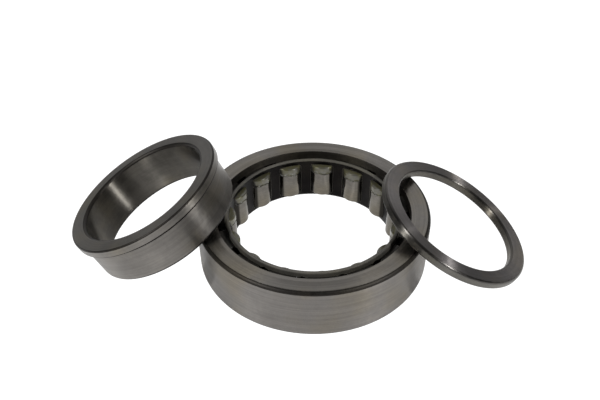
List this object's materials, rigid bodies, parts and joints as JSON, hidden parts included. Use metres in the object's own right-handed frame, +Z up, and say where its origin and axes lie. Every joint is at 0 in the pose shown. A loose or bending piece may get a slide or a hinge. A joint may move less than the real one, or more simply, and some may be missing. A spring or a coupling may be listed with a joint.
{
  "type": "cylindrical roller bearing",
  "caption": "Cylindrical roller bearing taken apart: outer ring lying flat with rollers in a pressed cage, ribbed inner ring and loose flange ring leaning on it.",
  "frame": {"origin": "on the bench, under the middle of the bounding box of the whole layout", "axes": "+Z up; +X runs from the inner ring on the left, across the outer ring, to the flange ring on the right; +Y away from the viewer; the bearing axis of the outer ring, cage and rollers is the vertical line x = 8.7 mm, y = 0"},
  "size_m": [0.2956, 0.15, 0.0718],
  "materials": {
    "ground_steel": "ground bearing steel with fine turning lines and a film of preserving oil",
    "roller_steel": "smooth ground and honed bearing steel, oiled",
    "cage_steel": "pressed sheet steel, satin, with rounded edges"
  },
  "bodies": {
    "outer_ring": {"outer_ring": "ground_steel"},
    "cage": {"cage": "cage_steel"},
    "roller_01": {"roller_01": "roller_steel"},
    "roller_02": {"roller_02": "roller_steel"},
    "roller_03": {"roller_03": "roller_steel"},
    "roller_04": {"roller_04": "roller_steel"},
    "roller_05": {"roller_05": "roller_steel"},
    "roller_06": {"roller_06": "roller_steel"},
    "roller_07": {"roller_07": "roller_steel"},
    "roller_08": {"roller_08": "roller_steel"},
    "roller_09": {"roller_09": "roller_steel"},
    "roller_10": {"roller_10": "roller_steel"},
    "roller_11": {"roller_11": "roller_steel"},
    "roller_12": {"roller_12": "roller_steel"},
    "roller_13": {"roller_13": "roller_steel"},
    "roller_14": {"roller_14": "roller_steel"},
    "roller_15": {"roller_15": "roller_steel"},
    "inner_ring": {"inner_ring": "ground_steel"},
    "flange_ring": {"flange_ring": "ground_steel"}
  },
  "joints": [
    {"name": "cage_spin", "type": "hinge", "parent": "outer_ring", "child": "cage", "pos_m": [0.0087, 0, 0.018], "axis": [0, 0, 1], "continuous": true},
    {"name": "roller_01_spin", "type": "hinge", "parent": "cage", "child": "roller_01", "pos_m": [0.01438, 0.05898, 0.018], "axis": [0, 0, 1], "continuous": true},
    {"name": "roller_02_spin", "type": "hinge", "parent": "cage", "child": "roller_02", "pos_m": [0.03787, 0.05157, 0.018], "axis": [0, 0, 1], "continuous": true},
    {"name": "roller_03_spin", "type": "hinge", "parent": "cage", "child": "roller_03", "pos_m": [0.05633, 0.03524, 0.018], "axis": [0, 0, 1], "continuous": true},
    {"name": "roller_04_spin", "type": "hinge", "parent": "cage", "child": "roller_04", "pos_m": [0.06654, 0.01282, 0.018], "axis": [0, 0, 1], "continuous": true},
    {"name": "roller_05_spin", "type": "hinge", "parent": "cage", "child": "roller_05", "pos_m": [0.06676, -0.01181, 0.018], "axis": [0, 0, 1], "continuous": true},
    {"name": "roller_06_spin", "type": "hinge", "parent": "cage", "child": "roller_06", "pos_m": [0.05693, -0.03441, 0.018], "axis": [0, 0, 1], "continuous": true},
    {"name": "roller_07_spin", "type": "hinge", "parent": "cage", "child": "roller_07", "pos_m": [0.03877, -0.05105, 0.018], "axis": [0, 0, 1], "continuous": true},
    {"name": "roller_08_spin", "type": "hinge", "parent": "cage", "child": "roller_08", "pos_m": [0.0154, -0.05887, 0.018], "axis": [0, 0, 1], "continuous": true},
    {"name": "roller_09_spin", "type": "hinge", "parent": "cage", "child": "roller_09", "pos_m": [-0.00912, -0.05651, 0.018], "axis": [0, 0, 1], "continuous": true},
    {"name": "roller_10_spin", "type": "hinge", "parent": "cage", "child": "roller_10", "pos_m": [-0.03056, -0.04438, 0.018], "axis": [0, 0, 1], "continuous": true},
    {"name": "roller_11_spin", "type": "hinge", "parent": "cage", "child": "roller_11", "pos_m": [-0.04522, -0.02457, 0.018], "axis": [0, 0, 1], "continuous": true},
    {"name": "roller_12_spin", "type": "hinge", "parent": "cage", "child": "roller_12", "pos_m": [-0.05055, -0.00052, 0.018], "axis": [0, 0, 1], "continuous": true},
    {"name": "roller_13_spin", "type": "hinge", "parent": "cage", "child": "roller_13", "pos_m": [-0.04564, 0.02363, 0.018], "axis": [0, 0, 1], "continuous": true},
    {"name": "roller_14_spin", "type": "hinge", "parent": "cage", "child": "roller_14", "pos_m": [-0.03133, 0.04368, 0.018], "axis": [0, 0, 1], "continuous": true},
    {"name": "roller_15_spin", "type": "hinge", "parent": "cage", "child": "roller_15", "pos_m": [-0.0101, 0.05619, 0.018], "axis": [0, 0, 1], "continuous": true},
    {"name": "inner_ring_lift", "type": "slide", "parent": "outer_ring", "child": "inner_ring", "axis": [0, 0, 1], "range_m": [0, 0.08]},
    {"name": "flange_ring_lift", "type": "slide", "parent": "outer_ring", "child": "flange_ring", "axis": [0, 0, 1], "range_m": [0, 0.08]}
  ],
  "couplings": [
    {"joint": "roller_01_spin", "follows": "cage_spin", "ratio": -7.5833},
    {"joint": "roller_02_spin", "follows": "cage_spin", "ratio": -7.5833},
    {"joint": "roller_03_spin", "follows": "cage_spin", "ratio": -7.5833},
    {"joint": "roller_04_spin", "follows": "cage_spin", "ratio": -7.5833},
    {"joint": "roller_05_spin", "follows": "cage_spin", "ratio": -7.5833},
    {"joint": "roller_06_spin", "follows": "cage_spin", "ratio": -7.5833},
    {"joint": "roller_07_spin", "follows": "cage_spin", "ratio": -7.5833},
    {"joint": "roller_08_spin", "follows": "cage_spin", "ratio": -7.5833},
    {"joint": "roller_09_spin", "follows": "cage_spin", "ratio": -7.5833},
    {"joint": "roller_10_spin", "follows": "cage_spin", "ratio": -7.5833},
    {"joint": "roller_11_spin", "follows": "cage_spin", "ratio": -7.5833},
    {"joint": "roller_12_spin", "follows": "cage_spin", "ratio": -7.5833},
    {"joint": "roller_13_spin", "follows": "cage_spin", "ratio": -7.5833},
    {"joint": "roller_14_spin", "follows": "cage_spin", "ratio": -7.5833},
    {"joint": "roller_15_spin", "follows": "cage_spin", "ratio": -7.5833}
  ]
}
